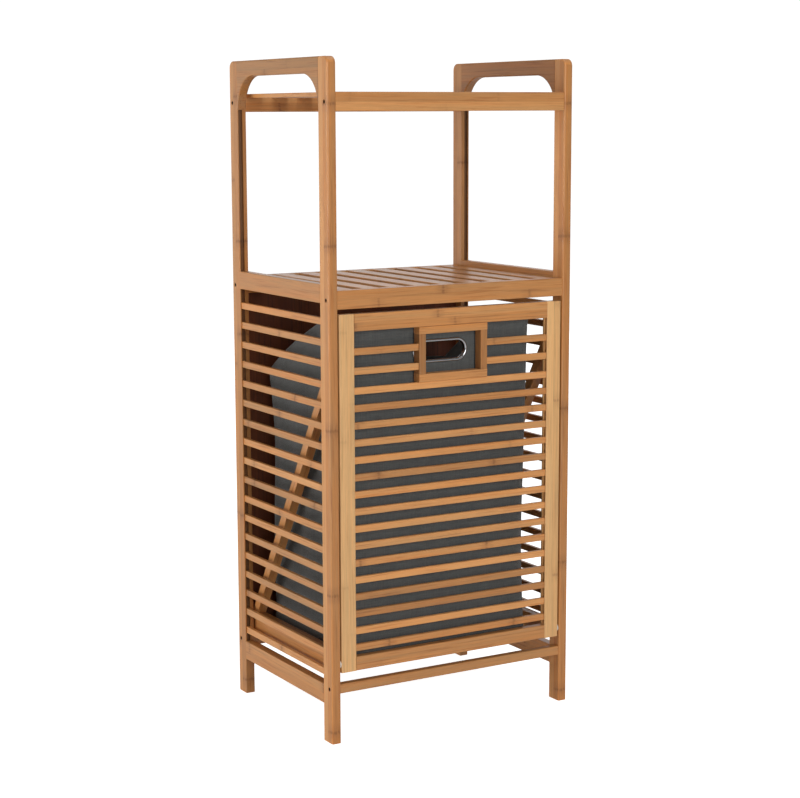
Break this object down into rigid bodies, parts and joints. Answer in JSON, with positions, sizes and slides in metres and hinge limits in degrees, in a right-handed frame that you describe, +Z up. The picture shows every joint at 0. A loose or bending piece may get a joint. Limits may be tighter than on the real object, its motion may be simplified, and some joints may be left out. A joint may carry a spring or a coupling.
{
  "type": "tilt-out laundry cabinet",
  "caption": "Tall slatted bamboo bathroom cabinet: top and middle shelf, and below them a tilt-out slatted door carrying a fabric laundry bag.",
  "frame": {"origin": "floor level, middle of the footprint", "axes": "+Z up, +Y to the back, +X to the right seen from the front"},
  "size_m": [0.4, 0.3, 0.95],
  "materials": {
    "bamboo_frame": "satin lacquered laminated bamboo",
    "bamboo_slat": "satin lacquered bamboo slat",
    "bamboo_door": "satin lacquered laminated bamboo",
    "bamboo_panel": "thin bamboo-faced board",
    "bag_fabric": "dark grey woven polyester, stiffened",
    "chrome_ring": "polished",
    "dark_screw": "black oxide",
    "pin_steel": "plain",
    "washer_nylon": "natural nylon"
  },
  "bodies": {
    "root": {"frame_screws": "dark_screw", "left_front_post": "bamboo_frame", "left_handle": "bamboo_frame", "left_low_rail": "bamboo_frame", "left_mid_rail": "bamboo_frame", "left_rear_post": "bamboo_frame", "left_rest_peg": "bamboo_frame", "left_side_slats": "bamboo_slat", "left_stop_peg": "bamboo_frame", "low_front_rail": "bamboo_frame", "low_rear_rail": "bamboo_frame", "mid_shelf_front_rail": "bamboo_frame", "mid_shelf_rear_rail": "bamboo_frame", "mid_shelf_slats": "bamboo_slat", "rear_panel": "bamboo_panel", "right_front_post": "bamboo_frame", "right_handle": "bamboo_frame", "right_low_rail": "bamboo_frame", "right_mid_rail": "bamboo_frame", "right_rear_post": "bamboo_frame", "right_rest_peg": "bamboo_frame", "right_side_slats": "bamboo_slat", "right_stop_peg": "bamboo_frame", "top_shelf_front_rail": "bamboo_frame", "top_shelf_rear_rail": "bamboo_frame", "top_shelf_slats": "bamboo_slat"},
    "tilt_door": {"bag_grommet": "chrome_ring", "door_bottom_rail": "bamboo_door", "door_slats": "bamboo_slat", "door_top_rail": "bamboo_door", "laundry_bag": "bag_fabric", "left_door_short_slats": "bamboo_slat", "left_door_stile": "bamboo_door", "left_pivot_pin": "pin_steel", "left_pivot_washer": "washer_nylon", "left_tilt_bar": "bamboo_door", "left_tilt_brace": "bamboo_door", "left_window_jamb": "bamboo_door", "right_door_short_slats": "bamboo_slat", "right_door_stile": "bamboo_door", "right_pivot_pin": "pin_steel", "right_pivot_washer": "washer_nylon", "right_tilt_bar": "bamboo_door", "right_tilt_brace": "bamboo_door", "right_window_jamb": "bamboo_door", "tilt_cross_bar": "bamboo_door", "tilt_floor_slat_1": "bamboo_slat", "tilt_floor_slat_2": "bamboo_slat", "tilt_floor_slat_3": "bamboo_slat", "tilt_floor_slat_4": "bamboo_slat", "window_header": "bamboo_door", "window_sill": "bamboo_door"}
  },
  "joints": [
    {"name": "door_tilt", "type": "hinge", "parent": "root", "child": "tilt_door", "pos_m": [0, -0.143, 0.113], "axis": [1, 0, 0], "range_deg": [0, 30]}
  ]
}
